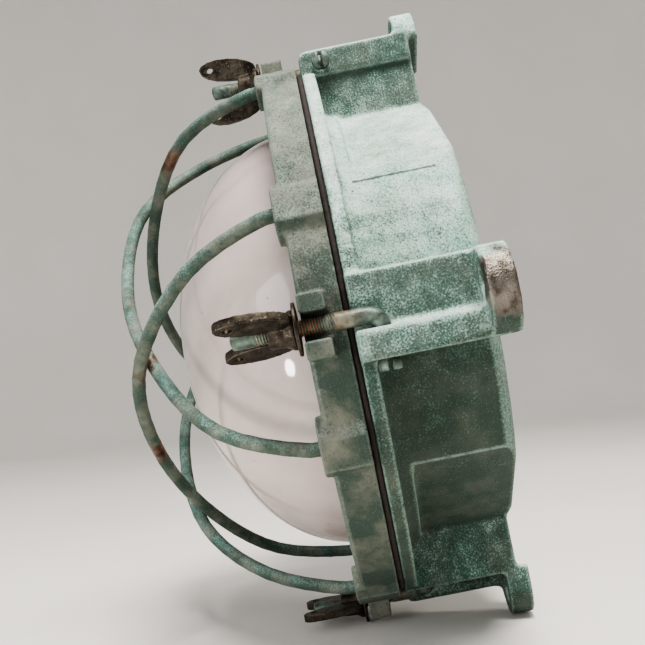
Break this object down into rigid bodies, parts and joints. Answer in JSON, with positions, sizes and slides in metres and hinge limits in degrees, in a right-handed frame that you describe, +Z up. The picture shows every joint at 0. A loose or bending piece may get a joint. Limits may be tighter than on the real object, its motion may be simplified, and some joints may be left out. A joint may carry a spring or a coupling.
{
  "type": "caged bulkhead light",
  "caption": "Round cast ship's bulkhead light: opal globe in a clamped front ring with a crossed-wire cage, swing bolts with wing nuts, and a drum housing on feet.",
  "frame": {"origin": "where the light's axis meets the mounting plane, the plane of the feet's backs", "axes": "-Y along the light's axis, out of the globe; +Z up; +X to the side of the first swing bolt"},
  "size_m": [0.356, 0.1906, 0.356],
  "materials": {
    "verdigris_casting": "rough sand-cast bronze under pale and dark green patina",
    "verdigris_wire": "round bronze rod, green patina with brown bare patches",
    "bolt_bronze": "dark grey-green bronze, copper-coloured where the thread has been cleaned by the nut",
    "dark_bronze": "dark brown handled bronze with bright worn edges",
    "gasket_rubber": "old dark brown rubber",
    "opal_glass": "glossy opal white glass, faintly pink",
    "brass_fittings": "dull yellow brass",
    "plated_steel": "dull plated steel",
    "porcelain": "glazed off-white porcelain",
    "clear_glass": "clear bulb glass"
  },
  "bodies": {
    "housing_body": {"housing": "verdigris_casting", "cover_gasket": "gasket_rubber", "lampholder_bracket": "plated_steel", "bracket_screw_1": "plated_steel", "bracket_screw_2": "plated_steel", "lampholder": "porcelain", "lampholder_sleeve": "brass_fittings", "bulb_cap": "plated_steel", "bulb_glass": "clear_glass", "terminal_block": "porcelain", "earth_screw": "brass_fittings", "cable_gland_body": "brass_fittings", "cable_gland_nut": "brass_fittings", "gland_blanking_disc": "gasket_rubber"},
    "cover_body": {"front_ring": "verdigris_casting", "globe_gasket": "gasket_rubber", "glass_globe": "opal_glass", "globe_retaining_ring": "brass_fittings", "retaining_screw_1": "brass_fittings", "retaining_screw_2": "brass_fittings", "retaining_screw_3": "brass_fittings", "retaining_screw_4": "brass_fittings", "cage_wire_1": "verdigris_wire", "cage_wire_2": "verdigris_wire", "cage_wire_3": "verdigris_wire", "cage_wire_4": "verdigris_wire"},
    "bolt_1": {"swing_bolt_1": "bolt_bronze"},
    "washer_1": {"clamp_washer_1": "dark_bronze"},
    "nut_1": {"wing_nut_1": "dark_bronze"},
    "bolt_2": {"swing_bolt_2": "bolt_bronze"},
    "washer_2": {"clamp_washer_2": "dark_bronze"},
    "nut_2": {"wing_nut_2": "dark_bronze"},
    "bolt_3": {"swing_bolt_3": "bolt_bronze"},
    "washer_3": {"clamp_washer_3": "dark_bronze"},
    "nut_3": {"wing_nut_3": "dark_bronze"},
    "bolt_4": {"swing_bolt_4": "bolt_bronze"},
    "washer_4": {"clamp_washer_4": "dark_bronze"},
    "nut_4": {"wing_nut_4": "dark_bronze"}
  },
  "joints": [
    {"name": "cover_lift", "type": "slide", "parent": "housing_body", "child": "cover_body", "axis": [0, -1, 0], "range_m": [0, 0.009]},
    {"name": "bolt_swing_1", "type": "hinge", "parent": "housing_body", "child": "bolt_1", "pos_m": [0.155, -0.0575, 0], "axis": [0, 0, 1], "range_deg": [0, 100]},
    {"name": "washer_travel_1", "type": "slide", "parent": "bolt_1", "child": "washer_1", "axis": [0, -1, 0], "range_m": [0, 0.009]},
    {"name": "nut_turn_1", "type": "hinge", "parent": "washer_1", "child": "nut_1", "pos_m": [0.155, -0.1, 0], "axis": [0, -1, 0], "range_deg": [0, 2592.1]},
    {"name": "bolt_swing_2", "type": "hinge", "parent": "housing_body", "child": "bolt_2", "pos_m": [0, -0.0575, 0.155], "axis": [-1, 0, 0], "range_deg": [0, 100]},
    {"name": "washer_travel_2", "type": "slide", "parent": "bolt_2", "child": "washer_2", "axis": [0, -1, 0], "range_m": [0, 0.009]},
    {"name": "nut_turn_2", "type": "hinge", "parent": "washer_2", "child": "nut_2", "pos_m": [0, -0.1, 0.155], "axis": [0, -1, 0], "range_deg": [0, 2592.1]},
    {"name": "bolt_swing_3", "type": "hinge", "parent": "housing_body", "child": "bolt_3", "pos_m": [-0.155, -0.0575, 0], "axis": [0, 0, -1], "range_deg": [0, 100]},
    {"name": "washer_travel_3", "type": "slide", "parent": "bolt_3", "child": "washer_3", "axis": [0, -1, 0], "range_m": [0, 0.009]},
    {"name": "nut_turn_3", "type": "hinge", "parent": "washer_3", "child": "nut_3", "pos_m": [-0.155, -0.1, 0], "axis": [0, -1, 0], "range_deg": [0, 2592.1]},
    {"name": "bolt_swing_4", "type": "hinge", "parent": "housing_body", "child": "bolt_4", "pos_m": [0, -0.0575, -0.155], "axis": [1, 0, 0], "range_deg": [0, 100]},
    {"name": "washer_travel_4", "type": "slide", "parent": "bolt_4", "child": "washer_4", "axis": [0, -1, 0], "range_m": [0, 0.009]},
    {"name": "nut_turn_4", "type": "hinge", "parent": "washer_4", "child": "nut_4", "pos_m": [0, -0.1, -0.155], "axis": [0, -1, 0], "range_deg": [0, 2592.1]}
  ],
  "couplings": [
    {"joint": "washer_travel_1", "follows": "cover_lift", "ratio": 1},
    {"joint": "nut_turn_1", "follows": "cover_lift", "rad_per_m": 5026.5},
    {"joint": "washer_travel_2", "follows": "cover_lift", "ratio": 1},
    {"joint": "nut_turn_2", "follows": "cover_lift", "rad_per_m": 5026.5},
    {"joint": "washer_travel_3", "follows": "cover_lift", "ratio": 1},
    {"joint": "nut_turn_3", "follows": "cover_lift", "rad_per_m": 5026.5},
    {"joint": "washer_travel_4", "follows": "cover_lift", "ratio": 1},
    {"joint": "nut_turn_4", "follows": "cover_lift", "rad_per_m": 5026.5}
  ]
}
